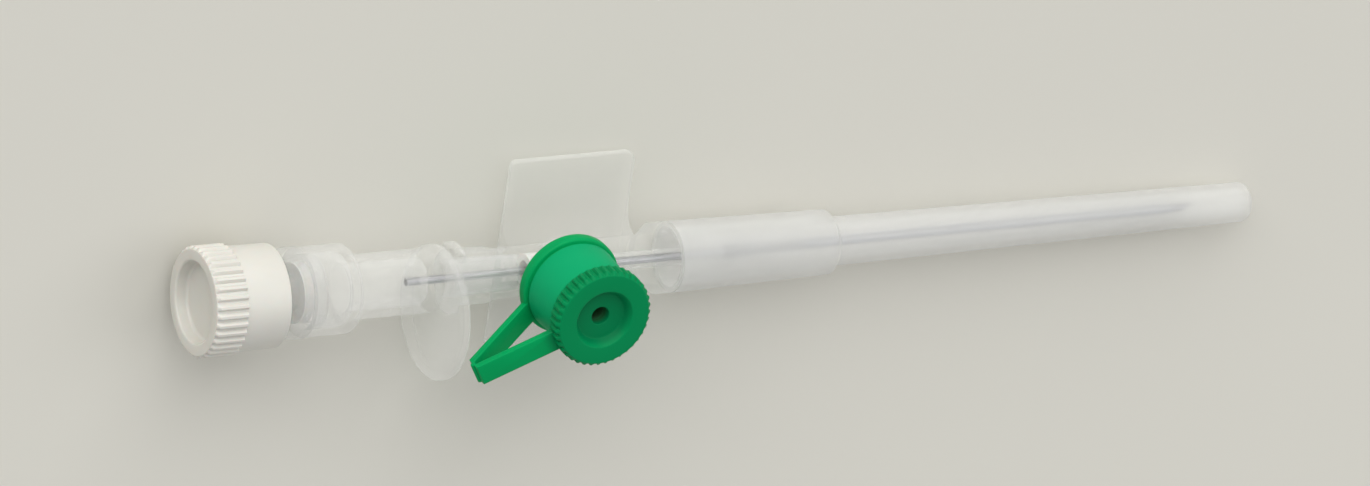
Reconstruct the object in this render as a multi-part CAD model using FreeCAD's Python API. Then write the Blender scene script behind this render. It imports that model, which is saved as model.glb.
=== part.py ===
import FreeCAD, Part
import math
import os

# Ported intravenous cannula, needle size 18 gauge, closed as it is stored.
# Millimetres. While it is drawn, X runs along the cannula towards the needle's tip,
# Z runs up the injection port, and the origin is where the port's axis meets the cannula's.
# At the end every solid is moved so that the cannula lies on Z = 0, centred along X.

V = FreeCAD.Vector
ORIGIN = V(0, 0, 0)
AXIS_X = V(1, 0, 0)
AXIS_Z = V(0, 0, 1)

# Clearances between pieces
CONE_CLEARANCE = 0.04
COVER_CLEARANCE = 0.05
NEEDLE_CLEARANCE = 0.05
SWIVEL_CLEARANCE = 0.08
FACE_GAP = 0.1
THREAD_ROOM = 0.25
FOLD_GAP = 0.12
SLEEVE_CLEARANCE = 0.2
PLATE_GAP = 0.75

# Luer cones, which narrow by 6 % on the diameter
LUER_MOUTH_RADIUS = 2.135
LUER_SLOPE = 0.03
LUER_DEPTH = 8.0
LUER_WALL = 0.95
LUG_RISE = 0.8
LUG_WIDTH = 3.4
LUG_THICKNESS = 1.2

# Needle
NEEDLE_RADIUS = 0.45
NEEDLE_WALL = 0.15
BEVEL_LENGTH = 2.4
BEVEL_LEAD = 0.2
NEEDLE_TAIL = 1.5

# Catheter tube
TUBE_WALL = 0.1
CATHETER_LENGTH = 45.0
TUBE_GRIP = 9.0
TIP_TAPER_LENGTH = 2.5
TIP_WALL = 0.05

# Steel ferrule that wedges the tube in the hub
FERRULE_WALL = 0.08
FERRULE_CONE_LENGTH = 1.6
FERRULE_LENGTH = 3.6
FERRULE_FLARE = 0.25
NECK_LENGTH = 0.4

# Catheter hub
HUB_REAR = 12.9
HUB_FRONT = 13.55
LUER_BARREL_LENGTH = 4.4
BODY_WALL = 0.9
BARREL_CONE_LENGTH = 1.0
SHOULDER_LENGTH = 2.0
SHOULDER_CONE_LENGTH = 1.2
SEAT_LENGTH = 4.4
SEAT_CONE_LENGTH = 1.6
NOSE_RADIUS = 1.75
NOSE_TIP_RADIUS = 1.45
NOSE_LENGTH = 10.1

# Valve sleeve inside the hub
VALVE_RADIUS = 1.85
VALVE_WALL = 0.75
VALVE_LENGTH = 7.2

# Wings
WING_SPAN = 22.0
WING_BACK = 5.0
WING_FRONT = 10.0
WING_DROP = 4.6
WING_THICKNESS = 0.9
WING_ROOT = 5.0
WING_CORNER = 2.6

# Injection port
PORT_HEIGHT = 10.1
PORT_TAPER_DEPTH = 3.5
PORT_FLOOR = 3.4
PORT_WALL = 1.45
PORT_HOLE_RADIUS = 0.8
SNAP_RISE = 0.2
SNAP_HEIGHT = 8.2
SNAP_LENGTH = 0.8

# Port cap: collar, strap and lid
COLLAR_RING_WALL = 1.95
COLLAR_RING_HEIGHT = 1.4
COLLAR_SLEEVE_WALL = 1.55
COLLAR_SLEEVE_DRAFT = 0.3
COLLAR_GROOVE = 0.3
RING_LIFT = 0.2
LID_RADIUS = 5.6
LID_THICKNESS = 2.0
LID_TEETH = 40
LID_TOOTH_DEPTH = 0.28
LID_TOP_CHAMFER = 0.3
LID_RECESS_RADIUS = 3.3
LID_RECESS_FLOOR_RADIUS = 2.7
LID_RECESS_DEPTH = 1.0
SPIGOT_RADIUS = 1.75
SPIGOT_TIP_RADIUS = 1.6
SPIGOT_LENGTH = 2.6
LID_HOLE_RADIUS = 1.0
LID_HOLE_DEPTH = 2.6
STRAP_WIDTH = 2.5
STRAP_THICKNESS = 0.8
STRAP_REACH = 14.1
STRAP_FOLD_RISE = 4.0
STRAP_ROOT_RISE = 0.7
STRAP_TURN = 210.0

# Needle hub: male cone, thumb plate, grip and flash chamber
PLATE_RADIUS = 7.3
PLATE_THICKNESS = 1.3
PLATE_OFFSET_Y = -3.24
PLATE_OFFSET_Z = 1.33
PLATE_LIP = 0.8
PLATE_DISH = 0.3
PLATE_CHAMFER = 0.25
GRIP_RADIUS = 3.5
GRIP_LENGTH = 9.85
GRIP_WALL = 0.9
GRIP_WEB = 1.2
CHAMBER_RADIUS = 4.85
CHAMBER_WALL = 0.8
CHAMBER_LENGTH = 5.65
CHAMBER_CHAMFER = 0.7

# Cap of the flash chamber, with the rear luer socket
BAND_RISE = 0.1
BAND_LENGTH = 1.3
CAP_BODY_LENGTH = 1.95
CAP_SKIRT_LENGTH = 1.8
CAP_SKIRT_WALL = 0.75
CAP_WALL = 0.9
CAP_NECK_LENGTH = 6.4
FILTER_THICKNESS = 1.2

# Luer plug
PLUG_COLLAR_WALL = 1.5
PLUG_WEB = 1.0
PLUG_RIM_HEIGHT = 1.5
PLUG_RIM_WIDTH = 1.3
PLUG_KNURL_LENGTH = 3.7
PLUG_TEETH = 36
PLUG_TOOTH_DEPTH = 0.35
PLUG_CHAMFER = 0.3
PLUG_CONE_LENGTH = 7.2

# Needle cover
COVER_WALL = 0.65
COVER_REAR_RADIUS = 3.85
COVER_STEP_RADIUS = 3.5
COVER_WIDE_LENGTH = 18.9
COVER_STEP_LENGTH = 0.6
COVER_TUBE_RADIUS = 2.65
COVER_TIP_RADIUS = 2.15
COVER_TIP_ROOM = 6.0

# Places along the cannula
NOSE_ROOT = HUB_FRONT + SEAT_LENGTH + SEAT_CONE_LENGTH
NOSE_END = NOSE_ROOT + NOSE_LENGTH
TUBE_REAR = NOSE_END - TUBE_GRIP
TUBE_TIP = NOSE_END + CATHETER_LENGTH
NEEDLE_TIP = TUBE_TIP + BEVEL_LEAD + BEVEL_LENGTH
COVER_REAR = HUB_FRONT + FACE_GAP
COVER_STEP = COVER_REAR + COVER_WIDE_LENGTH
COVER_TUBE = COVER_STEP + COVER_STEP_LENGTH
COVER_END = NEEDLE_TIP + COVER_TIP_ROOM + COVER_WALL
PLATE_FRONT = -HUB_REAR - PLATE_GAP
PLATE_BACK = PLATE_FRONT - PLATE_THICKNESS
CHAMBER_FRONT = PLATE_BACK - GRIP_LENGTH
CHAMBER_REAR = CHAMBER_FRONT - CHAMBER_LENGTH
BAND_REAR = CHAMBER_REAR - BAND_LENGTH
CAP_BODY_REAR = BAND_REAR - CAP_BODY_LENGTH
CAP_MOUTH = CAP_BODY_REAR - CAP_NECK_LENGTH
PLUG_FRONT = CAP_BODY_REAR - FACE_GAP
PLUG_WEB_FRONT = CAP_MOUTH - FACE_GAP
PLUG_FLOOR = PLUG_WEB_FRONT - PLUG_WEB
PLUG_REAR = PLUG_FLOOR - PLUG_RIM_HEIGHT

# Radii that follow from the sizes above
NEEDLE_BORE = NEEDLE_RADIUS - NEEDLE_WALL
TUBE_BORE = NEEDLE_RADIUS + NEEDLE_CLEARANCE
TUBE_RADIUS = TUBE_BORE + TUBE_WALL
FERRULE_BORE = TUBE_BORE + NEEDLE_CLEARANCE / 2
FERRULE_RADIUS = FERRULE_BORE + FERRULE_WALL
FLARE_RADIUS = FERRULE_RADIUS + FERRULE_FLARE
PASSAGE_RADIUS = FLARE_RADIUS + TUBE_WALL
LUER_BARREL_RADIUS = LUER_MOUTH_RADIUS + LUER_WALL
BODY_RADIUS = VALVE_RADIUS + BODY_WALL
LUG_RADIUS = LUER_BARREL_RADIUS + LUG_RISE
PORT_THROAT_RADIUS = LUER_MOUTH_RADIUS - LUER_SLOPE * PORT_TAPER_DEPTH
PORT_RADIUS = LUER_MOUTH_RADIUS + PORT_WALL
COLLAR_BORE = PORT_RADIUS + SWIVEL_CLEARANCE
COLLAR_RING_RADIUS = COLLAR_BORE + COLLAR_RING_WALL
COLLAR_SLEEVE_RADIUS = COLLAR_BORE + COLLAR_SLEEVE_WALL
SLEEVE_TOP_RADIUS = COLLAR_SLEEVE_RADIUS - COLLAR_SLEEVE_DRAFT
LID_ARM_FOOT = SLEEVE_TOP_RADIUS + SLEEVE_CLEARANCE
CHAMBER_BORE = CHAMBER_RADIUS - CHAMBER_WALL
CAP_BORE = CHAMBER_BORE - CAP_SKIRT_WALL
PLUG_COLLAR_BORE = LUG_RADIUS + THREAD_ROOM
PLUG_COLLAR_RADIUS = PLUG_COLLAR_BORE + PLUG_COLLAR_WALL
PLUG_RADIUS = PLUG_COLLAR_RADIUS + PLUG_TOOTH_DEPTH

# Heights up the injection port
RING_BOTTOM = BODY_RADIUS + RING_LIFT
RING_TOP = RING_BOTTOM + COLLAR_RING_HEIGHT
SLEEVE_TOP = PORT_HEIGHT + FACE_GAP
LID_BOTTOM = SLEEVE_TOP + FACE_GAP
LID_TOP = LID_BOTTOM + LID_THICKNESS
FOLD_HEIGHT = RING_TOP + STRAP_FOLD_RISE

# Where the finished cannula lies
REST_HEIGHT = max(PLUG_RADIUS, PLATE_RADIUS - PLATE_OFFSET_Z, WING_DROP)
MID_LENGTH = (COVER_END + PLUG_REAR) / 2


def along_x(along, radius):
    """Point of a section that is turned about the cannula's axis."""
    return V(along, 0, radius)


def up_z(radius, height):
    """Point of a section that is turned about the port's axis."""
    return V(radius, 0, height)


def outline(point, start, *steps):
    """Flat face from a start and steps. A pair of numbers is a straight edge to that point,
    and a pair of points is an arc through the first to the second."""
    edges = []
    here = start
    for step in steps + (start,):
        if isinstance(step[0], tuple):
            edges.append(Part.Arc(point(*here), point(*step[0]), point(*step[1])).toShape())
            here = step[1]
        else:
            edges.append(Part.LineSegment(point(*here), point(*step)).toShape())
            here = step
    return Part.Face(Part.Wire(edges))


def turned_x(start, *steps):
    """Solid turned about the cannula's axis from (along, radius) points."""
    return outline(along_x, start, *steps).revolve(ORIGIN, AXIS_X, 360)


def turned_z(start, *steps):
    """Solid turned about the port's axis from (radius, height) points."""
    return outline(up_z, start, *steps).revolve(ORIGIN, AXIS_Z, 360)


def rod_x(radius, start, end):
    """Round rod along the cannula's axis."""
    return Part.makeCylinder(radius, end - start, V(start, 0, 0), AXIS_X)


def rod_z(radius, bottom, top):
    """Round rod along the port's axis."""
    return Part.makeCylinder(radius, top - bottom, V(0, 0, bottom), AXIS_Z)


def toothed_prism(tip_radius, depth, teeth, place, sweep):
    """Prism with teeth all round. place turns a radius and an angle into a corner."""
    pitch = 2 * math.pi / teeth
    half_tip = 0.17 * pitch
    half_foot = 0.33 * pitch
    corner_radius = tip_radius / math.cos(half_tip)
    foot_radius = tip_radius - depth
    corners = []
    for tooth in range(teeth):
        middle = tooth * pitch
        corners.append(place(foot_radius, middle - half_foot))
        corners.append(place(corner_radius, middle - half_tip))
        corners.append(place(corner_radius, middle + half_tip))
        corners.append(place(foot_radius, middle + half_foot))
    return Part.Face(Part.makePolygon(corners + corners[:1])).extrude(sweep)


def luer_radius(depth):
    """Radius of a luer socket at a depth below its mouth."""
    return LUER_MOUTH_RADIUS - LUER_SLOPE * depth


def luer_socket(mouth):
    """Hollow of a luer socket that opens rearwards at a place along the cannula."""
    end = mouth + LUER_DEPTH
    return turned_x((mouth, 0), (mouth, luer_radius(0)), (end, luer_radius(LUER_DEPTH)), (end, 0))


def luer_lugs(mouth):
    """Two ears beside a luer mouth, which a locking collar holds."""
    ring = rod_x(LUG_RADIUS, mouth, mouth + LUG_THICKNESS)
    bar = Part.makeBox(LUG_THICKNESS, 2 * LUG_RADIUS, LUG_WIDTH)
    bar.translate(V(mouth, -LUG_RADIUS, -LUG_WIDTH / 2))
    return ring.common(bar)


def needle():
    """Steel tube with a slanted tip that faces up and a tail in the grip's hollow."""
    rear = PLATE_BACK - GRIP_WEB - NEEDLE_TAIL
    tube = rod_x(NEEDLE_RADIUS, rear, NEEDLE_TIP).cut(rod_x(NEEDLE_BORE, rear, NEEDLE_TIP))
    heel = NEEDLE_TIP - BEVEL_LENGTH
    above = 2 * NEEDLE_RADIUS
    side = Part.makePolygon([
        V(heel, -above, NEEDLE_RADIUS),
        V(NEEDLE_TIP, -above, -NEEDLE_RADIUS),
        V(NEEDLE_TIP, -above, above),
        V(heel, -above, above),
        V(heel, -above, NEEDLE_RADIUS),
    ])
    return tube.cut(Part.Face(side).extrude(V(0, 2 * above, 0)))


def tube_inside(rear_radius, neck_radius, tube_radius):
    """Points along a wall of the tube from its flared rear end to its taper."""
    cone_end = TUBE_REAR + FERRULE_CONE_LENGTH
    neck = TUBE_REAR + FERRULE_LENGTH
    return [
        (TUBE_REAR, rear_radius),
        (cone_end, neck_radius),
        (neck, neck_radius),
        (neck + NECK_LENGTH, tube_radius),
    ]


def catheter_tube():
    """Thin soft tube, flared over its ferrule and tapered at its tip."""
    inner = tube_inside(FLARE_RADIUS, FERRULE_RADIUS, TUBE_BORE)
    outer = tube_inside(PASSAGE_RADIUS, FERRULE_RADIUS + TUBE_WALL, TUBE_RADIUS)
    taper = TUBE_TIP - TIP_TAPER_LENGTH
    tip_bore = NEEDLE_RADIUS + NEEDLE_CLEARANCE / 2
    front = [(taper, TUBE_BORE), (TUBE_TIP, tip_bore), (TUBE_TIP, tip_bore + TIP_WALL), (taper, TUBE_RADIUS)]
    return turned_x(*inner, *front, *reversed(outer))


def catheter_ferrule():
    """Steel funnel inside the tube's flare, which the needle passes through."""
    cone_end = TUBE_REAR + FERRULE_CONE_LENGTH
    end = TUBE_REAR + FERRULE_LENGTH
    return turned_x(
        (TUBE_REAR, FLARE_RADIUS - FERRULE_WALL), (cone_end, FERRULE_BORE), (end, FERRULE_BORE),
        (end, FERRULE_RADIUS), (cone_end, FERRULE_RADIUS), (TUBE_REAR, FLARE_RADIUS),
    )


def cover_bore(along):
    """Radius inside the cover's wide part, which narrows evenly to its step."""
    share = (along - COVER_REAR) / COVER_WIDE_LENGTH
    return COVER_REAR_RADIUS + share * (COVER_STEP_RADIUS - COVER_REAR_RADIUS) - COVER_WALL


def hub_barrel():
    """Outside of the hub: luer barrel, body, shoulder, seat for the cover, and nose."""
    seat_end = HUB_FRONT + SEAT_LENGTH
    barrel_end = LUER_BARREL_LENGTH - HUB_REAR
    shoulder = HUB_FRONT - SHOULDER_LENGTH
    return turned_x(
        (-HUB_REAR, 0), (-HUB_REAR, LUER_BARREL_RADIUS), (barrel_end, LUER_BARREL_RADIUS),
        (barrel_end + BARREL_CONE_LENGTH, BODY_RADIUS), (shoulder - SHOULDER_CONE_LENGTH, BODY_RADIUS),
        (shoulder, COVER_REAR_RADIUS), (HUB_FRONT, COVER_REAR_RADIUS),
        (HUB_FRONT, cover_bore(COVER_REAR) - COVER_CLEARANCE),
        (seat_end, cover_bore(seat_end) - COVER_CLEARANCE),
        (NOSE_ROOT, NOSE_RADIUS), (NOSE_END, NOSE_TIP_RADIUS), (NOSE_END, 0),
    )


def hub_wings():
    """Flat wings and their saddle under the body, cut to a plan with round corners."""
    tip = WING_SPAN / 2
    top = WING_THICKNESS - WING_DROP
    flank = 0.82 * BODY_RADIUS
    sag = ((WING_ROOT + flank) / 2 - 0.5, (top - flank) / 2 - 0.5)

    def across(y, z):
        return V(-WING_BACK, y, z)

    section = outline(
        across, (-tip, -WING_DROP), (tip, -WING_DROP), (tip, top), (WING_ROOT, top),
        (sag, (flank, 0.5 - flank)), (-flank, 0.5 - flank),
        ((-sag[0], sag[1]), (-WING_ROOT, top)), (-tip, top),
    )
    slab = section.extrude(V(WING_BACK + WING_FRONT, 0, 0))
    plan = Part.makeBox(WING_BACK + WING_FRONT, WING_SPAN, WING_DROP, V(-WING_BACK, -tip, -WING_DROP))
    upright = [edge for edge in plan.Edges if abs(edge.tangentAt(edge.FirstParameter).z) > 0.9]
    return slab.common(plan.makeFillet(WING_CORNER, upright))


def port_tower():
    """Outside of the port, with the snap bead that keeps the collar on."""
    bead = SNAP_HEIGHT + SNAP_LENGTH / 2
    return turned_z(
        (0, 0), (PORT_RADIUS, 0), (PORT_RADIUS, SNAP_HEIGHT), (PORT_RADIUS + SNAP_RISE, bead),
        (PORT_RADIUS, SNAP_HEIGHT + SNAP_LENGTH), (PORT_RADIUS, PORT_HEIGHT), (0, PORT_HEIGHT),
    )


def port_hollow():
    """Luer taper of the port, its straight throat and the small hole to the valve."""
    taper_end = PORT_HEIGHT - PORT_TAPER_DEPTH
    socket = turned_z(
        (0, PORT_FLOOR), (PORT_THROAT_RADIUS, PORT_FLOOR), (PORT_THROAT_RADIUS, taper_end),
        (LUER_MOUTH_RADIUS, PORT_HEIGHT), (0, PORT_HEIGHT),
    )
    return socket.fuse(rod_z(PORT_HOLE_RADIUS, 0, PORT_FLOOR))


def hub_hollow():
    """Everything bored in the hub along its axis, from the luer socket to the nose."""
    pocket_end = VALVE_LENGTH / 2
    pocket = rod_x(VALVE_RADIUS, LUER_DEPTH - HUB_REAR, pocket_end)
    passage = rod_x(PASSAGE_RADIUS, pocket_end, TUBE_REAR)
    outer = tube_inside(PASSAGE_RADIUS, FERRULE_RADIUS + TUBE_WALL, TUBE_RADIUS)
    grip = turned_x((TUBE_REAR, 0), *outer, (NOSE_END, TUBE_RADIUS), (NOSE_END, 0))
    return luer_socket(-HUB_REAR).fuse([pocket, passage, grip])


def catheter_hub():
    """Clear moulding with the luer socket, the port, the wings and the tube's nose."""
    outside = hub_barrel().fuse([luer_lugs(-HUB_REAR), hub_wings(), port_tower()])
    return outside.cut(hub_hollow().fuse(port_hollow())).removeSplitter()


def port_valve():
    """Soft sleeve that closes the port's hole from inside."""
    half = VALVE_LENGTH / 2
    return rod_x(VALVE_RADIUS, -half, half).cut(rod_x(VALVE_RADIUS - VALVE_WALL, -half, half))


def strap_arm(foot_radius, foot_height, end_height, side):
    """Straight strap arm from its foot to the fold. Its outer face starts at the foot's height,
    and end_height is where its inner face meets the fold. side is 1 below the fold, -1 above it."""
    run = STRAP_REACH - foot_radius
    tilt = math.atan2(end_height - foot_height, run)
    lift = side * STRAP_THICKNESS / math.cos(tilt)
    arm = outline(
        up_z, (foot_radius, foot_height), (STRAP_REACH, end_height - lift),
        (STRAP_REACH, end_height), (foot_radius, foot_height + lift),
    )
    return arm.extrude(V(0, STRAP_WIDTH, 0)).translated(V(0, -STRAP_WIDTH / 2, 0))


def port_cap_collar():
    """Ring and sleeve that turn on the port, with the lower arm of the strap."""
    shell = turned_z(
        (COLLAR_BORE, RING_BOTTOM), (COLLAR_RING_RADIUS, RING_BOTTOM), (COLLAR_RING_RADIUS, RING_TOP),
        (COLLAR_SLEEVE_RADIUS - COLLAR_GROOVE, RING_TOP),
        (COLLAR_SLEEVE_RADIUS, RING_TOP + COLLAR_GROOVE),
        (SLEEVE_TOP_RADIUS, SLEEVE_TOP), (COLLAR_BORE, SLEEVE_TOP),
        (COLLAR_BORE, SNAP_HEIGHT + SNAP_LENGTH + SWIVEL_CLEARANCE),
        (COLLAR_BORE + SNAP_RISE, SNAP_HEIGHT + SNAP_LENGTH / 2), (COLLAR_BORE, SNAP_HEIGHT - SWIVEL_CLEARANCE),
    )
    arm = strap_arm(COLLAR_BORE + SNAP_RISE, RING_BOTTOM, FOLD_HEIGHT - FOLD_GAP, 1)
    return shell.fuse(arm).removeSplitter().rotated(ORIGIN, AXIS_Z, STRAP_TURN)


def port_cap_lid():
    """Knurled lid with its spigot and recess, and the upper arm of the strap."""
    def around_z(radius, angle):
        return V(radius * math.cos(angle), radius * math.sin(angle), LID_BOTTOM)

    teeth = toothed_prism(LID_RADIUS, LID_TOOTH_DEPTH, LID_TEETH, around_z, V(0, 0, LID_THICKNESS))
    dome = turned_z(
        (0, LID_BOTTOM), (LID_RADIUS - LID_TOOTH_DEPTH / 2, LID_BOTTOM),
        (LID_RADIUS + LID_TOOTH_DEPTH, LID_BOTTOM + LID_TOOTH_DEPTH),
        (LID_RADIUS + LID_TOOTH_DEPTH, LID_TOP - LID_TOP_CHAMFER - LID_TOOTH_DEPTH),
        (LID_RADIUS - LID_TOP_CHAMFER, LID_TOP), (0, LID_TOP),
    )
    spigot = turned_z(
        (0, LID_BOTTOM - SPIGOT_LENGTH), (SPIGOT_TIP_RADIUS, LID_BOTTOM - SPIGOT_LENGTH),
        (SPIGOT_RADIUS, LID_BOTTOM), (0, LID_BOTTOM),
    )
    recess_floor = LID_TOP - LID_RECESS_DEPTH
    recess = turned_z(
        (0, recess_floor), (LID_RECESS_FLOOR_RADIUS, recess_floor), (LID_RECESS_RADIUS, LID_TOP), (0, LID_TOP),
    )
    hole = rod_z(LID_HOLE_RADIUS, recess_floor - LID_HOLE_DEPTH, recess_floor)
    arm = strap_arm(LID_ARM_FOOT, LID_BOTTOM + STRAP_ROOT_RISE, FOLD_HEIGHT + FOLD_GAP, -1)
    lid = teeth.common(dome).fuse([spigot, arm]).cut(recess.fuse(hole))
    return lid.removeSplitter().rotated(ORIGIN, AXIS_Z, STRAP_TURN)


def thumb_plate():
    """Round plate beside the axis, dished inside its lip on the front."""
    rim = PLATE_RADIUS - PLATE_CHAMFER
    floor = PLATE_FRONT - PLATE_DISH
    dish = PLATE_RADIUS - PLATE_LIP
    plate = turned_x(
        (PLATE_BACK, 0), (PLATE_BACK, rim), (PLATE_BACK + PLATE_CHAMFER, PLATE_RADIUS),
        (PLATE_FRONT - PLATE_CHAMFER, PLATE_RADIUS), (PLATE_FRONT, rim), (PLATE_FRONT, dish), (floor, dish), (floor, 0),
    )
    return plate.translated(V(0, PLATE_OFFSET_Y, PLATE_OFFSET_Z))


def needle_hub():
    """Clear moulding with the male cone, thumb plate, grip and open flash chamber."""
    cone_end = LUER_DEPTH - HUB_REAR - FACE_GAP
    tip = luer_radius(LUER_DEPTH - FACE_GAP) - CONE_CLEARANCE
    root = luer_radius(-PLATE_GAP) - CONE_CLEARANCE
    outside = turned_x(
        (PLATE_BACK, 0), (PLATE_BACK, root), (PLATE_FRONT, root), (cone_end, tip), (cone_end, 0),
    )
    body = turned_x(
        (CHAMBER_REAR, 0), (CHAMBER_REAR, CHAMBER_RADIUS), (CHAMBER_FRONT - CHAMBER_CHAMFER, CHAMBER_RADIUS),
        (CHAMBER_FRONT, CHAMBER_RADIUS - CHAMBER_CHAMFER), (CHAMBER_FRONT, GRIP_RADIUS),
        (PLATE_BACK, GRIP_RADIUS), (PLATE_BACK, 0),
    )
    chamber = rod_x(CHAMBER_BORE, CHAMBER_REAR, CHAMBER_FRONT - CHAMBER_WALL)
    grip = rod_x(GRIP_RADIUS - GRIP_WALL, CHAMBER_REAR, PLATE_BACK - GRIP_WEB)
    lumen = rod_x(NEEDLE_RADIUS, CHAMBER_REAR, cone_end)
    return outside.fuse([body, thumb_plate()]).cut(chamber.fuse([grip, lumen])).removeSplitter()


def flash_chamber_cap():
    """Clear rear moulding of the chamber: skirt, band, shoulder and luer neck with lugs."""
    neck_start = CAP_BODY_REAR + CAP_WALL
    outside = turned_x(
        (CAP_MOUTH, 0), (CAP_MOUTH, LUER_BARREL_RADIUS), (CAP_BODY_REAR, LUER_BARREL_RADIUS),
        (CAP_BODY_REAR, CHAMBER_RADIUS), (BAND_REAR, CHAMBER_RADIUS), (BAND_REAR, CHAMBER_RADIUS + BAND_RISE),
        (CHAMBER_REAR, CHAMBER_RADIUS + BAND_RISE), (CHAMBER_REAR, CHAMBER_BORE),
        (CHAMBER_REAR + CAP_SKIRT_LENGTH, CHAMBER_BORE), (CHAMBER_REAR + CAP_SKIRT_LENGTH, 0),
    )
    cavity = rod_x(CAP_BORE, CAP_MOUTH + LUER_DEPTH + CAP_WALL, CHAMBER_REAR + CAP_SKIRT_LENGTH)
    vent = rod_x(luer_radius(LUER_DEPTH), neck_start, CAP_MOUTH + LUER_DEPTH + CAP_WALL)
    return outside.fuse(luer_lugs(CAP_MOUTH)).cut(luer_socket(CAP_MOUTH).fuse([cavity, vent])).removeSplitter()


def flash_filter():
    """Porous disc seated against the step inside the chamber's cap."""
    seat = CAP_MOUTH + LUER_DEPTH + CAP_WALL
    return rod_x(CAP_BORE, seat, seat + FILTER_THICKNESS)


def luer_plug():
    """White locking plug: knurled rim, recessed end, collar and male cone."""
    def around_x(radius, angle):
        return V(PLUG_REAR, radius * math.sin(angle), radius * math.cos(angle))

    knurl_end = PLUG_REAR + PLUG_KNURL_LENGTH
    teeth = toothed_prism(PLUG_RADIUS, PLUG_TOOTH_DEPTH, PLUG_TEETH, around_x, V(PLUG_KNURL_LENGTH, 0, 0))
    barrel = turned_x(
        (PLUG_REAR, 0), (PLUG_REAR, PLUG_RADIUS - PLUG_CHAMFER),
        (PLUG_REAR + 2 * PLUG_CHAMFER, PLUG_RADIUS + PLUG_CHAMFER),
        (knurl_end, PLUG_RADIUS + PLUG_CHAMFER), (knurl_end, 0),
    )
    collar = rod_x(PLUG_COLLAR_RADIUS, knurl_end, PLUG_FRONT)
    recess = rod_x(PLUG_COLLAR_RADIUS - PLUG_RIM_WIDTH, PLUG_REAR, PLUG_FLOOR)
    bore = rod_x(PLUG_COLLAR_BORE, PLUG_WEB_FRONT, PLUG_FRONT)
    cone = turned_x(
        (PLUG_FLOOR, 0), (PLUG_FLOOR, luer_radius(-FACE_GAP) - CONE_CLEARANCE),
        (PLUG_WEB_FRONT, luer_radius(-FACE_GAP) - CONE_CLEARANCE),
        (PLUG_WEB_FRONT + PLUG_CONE_LENGTH, luer_radius(PLUG_CONE_LENGTH - FACE_GAP) - CONE_CLEARANCE),
        (PLUG_WEB_FRONT + PLUG_CONE_LENGTH, 0),
    )
    return teeth.common(barrel).fuse(collar).cut(recess.fuse(bore)).fuse(cone).removeSplitter()


def needle_cover():
    """Closed tube that stands on the hub's seat and steps down over the needle."""
    round_x = COVER_END - COVER_TIP_RADIUS * (1 - math.sqrt(0.5))
    round_r = COVER_TIP_RADIUS * math.sqrt(0.5)
    inner_tip = COVER_TIP_RADIUS - COVER_WALL
    inner_end = COVER_END - COVER_WALL
    outside = turned_x(
        (COVER_REAR, 0), (COVER_REAR, COVER_REAR_RADIUS), (COVER_STEP, COVER_STEP_RADIUS),
        (COVER_TUBE, COVER_TUBE_RADIUS), (COVER_END - COVER_TIP_RADIUS, COVER_TIP_RADIUS),
        ((round_x, round_r), (COVER_END, 0)),
    )
    inside = turned_x(
        (COVER_REAR, 0), (COVER_REAR, cover_bore(COVER_REAR)),
        (COVER_STEP - COVER_WALL, cover_bore(COVER_STEP - COVER_WALL)),
        (COVER_TUBE - COVER_WALL, COVER_TUBE_RADIUS - COVER_WALL),
        (inner_end - inner_tip, inner_tip), (inner_end, inner_tip / 2), (inner_end, 0),
    )
    return outside.cut(inside)


PIECES = {
    "catheter_hub": catheter_hub,
    "catheter_tube": catheter_tube,
    "catheter_ferrule": catheter_ferrule,
    "port_valve": port_valve,
    "port_cap_collar": port_cap_collar,
    "port_cap_lid": port_cap_lid,
    "needle": needle,
    "needle_hub": needle_hub,
    "flash_chamber_cap": flash_chamber_cap,
    "flash_filter": flash_filter,
    "luer_plug": luer_plug,
    "needle_cover": needle_cover,
}


os.makedirs("parts", exist_ok=True)
for name, make in PIECES.items():
    piece = make().translated(V(-MID_LENGTH, 0, REST_HEIGHT))
    piece.exportStep("parts/" + name + ".step")
    box = piece.BoundBox
    print(f"{name}: {len(piece.Solids)} solid, volume {piece.Volume:.2f}, valid {piece.isValid()}")
    print(f"  x {box.XMin:.2f} {box.XMax:.2f}  y {box.YMin:.2f} {box.YMax:.2f}  z {box.ZMin:.2f} {box.ZMax:.2f}")
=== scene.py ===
"""Looks of a ported intravenous cannula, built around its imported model.

Every shape is drawn in millimetres in the cannula's own drawing frame: X runs towards the
needle's tip, Z up the injection port, and the origin is where the port's axis meets the
cannula's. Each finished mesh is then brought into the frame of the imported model, in metres.
"""
import logging
import math
from dataclasses import dataclass
from enum import Enum
from typing import Sequence, Union

import bmesh
import bpy
from mathutils import Color, Matrix, Vector


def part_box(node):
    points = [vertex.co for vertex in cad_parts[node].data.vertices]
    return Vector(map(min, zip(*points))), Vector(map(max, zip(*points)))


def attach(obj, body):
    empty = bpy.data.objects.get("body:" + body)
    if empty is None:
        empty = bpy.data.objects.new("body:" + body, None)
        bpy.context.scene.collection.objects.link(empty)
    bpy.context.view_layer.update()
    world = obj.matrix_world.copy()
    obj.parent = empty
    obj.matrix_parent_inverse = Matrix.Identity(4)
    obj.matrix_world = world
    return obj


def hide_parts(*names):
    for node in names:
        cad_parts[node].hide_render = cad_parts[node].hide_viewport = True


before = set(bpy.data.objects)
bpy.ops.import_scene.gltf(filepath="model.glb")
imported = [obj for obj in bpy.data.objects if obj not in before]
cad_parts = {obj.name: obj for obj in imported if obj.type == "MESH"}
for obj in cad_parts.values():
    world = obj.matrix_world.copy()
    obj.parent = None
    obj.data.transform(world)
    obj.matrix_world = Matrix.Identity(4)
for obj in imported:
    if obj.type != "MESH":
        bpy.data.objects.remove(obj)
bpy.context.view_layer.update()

log = logging.getLogger("cannula")

MM = 0.001

Point = tuple[float, float]
Corner = tuple[float, ...]
Colour = tuple[int, int, int]
Mesh = bmesh.types.BMesh


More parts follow.
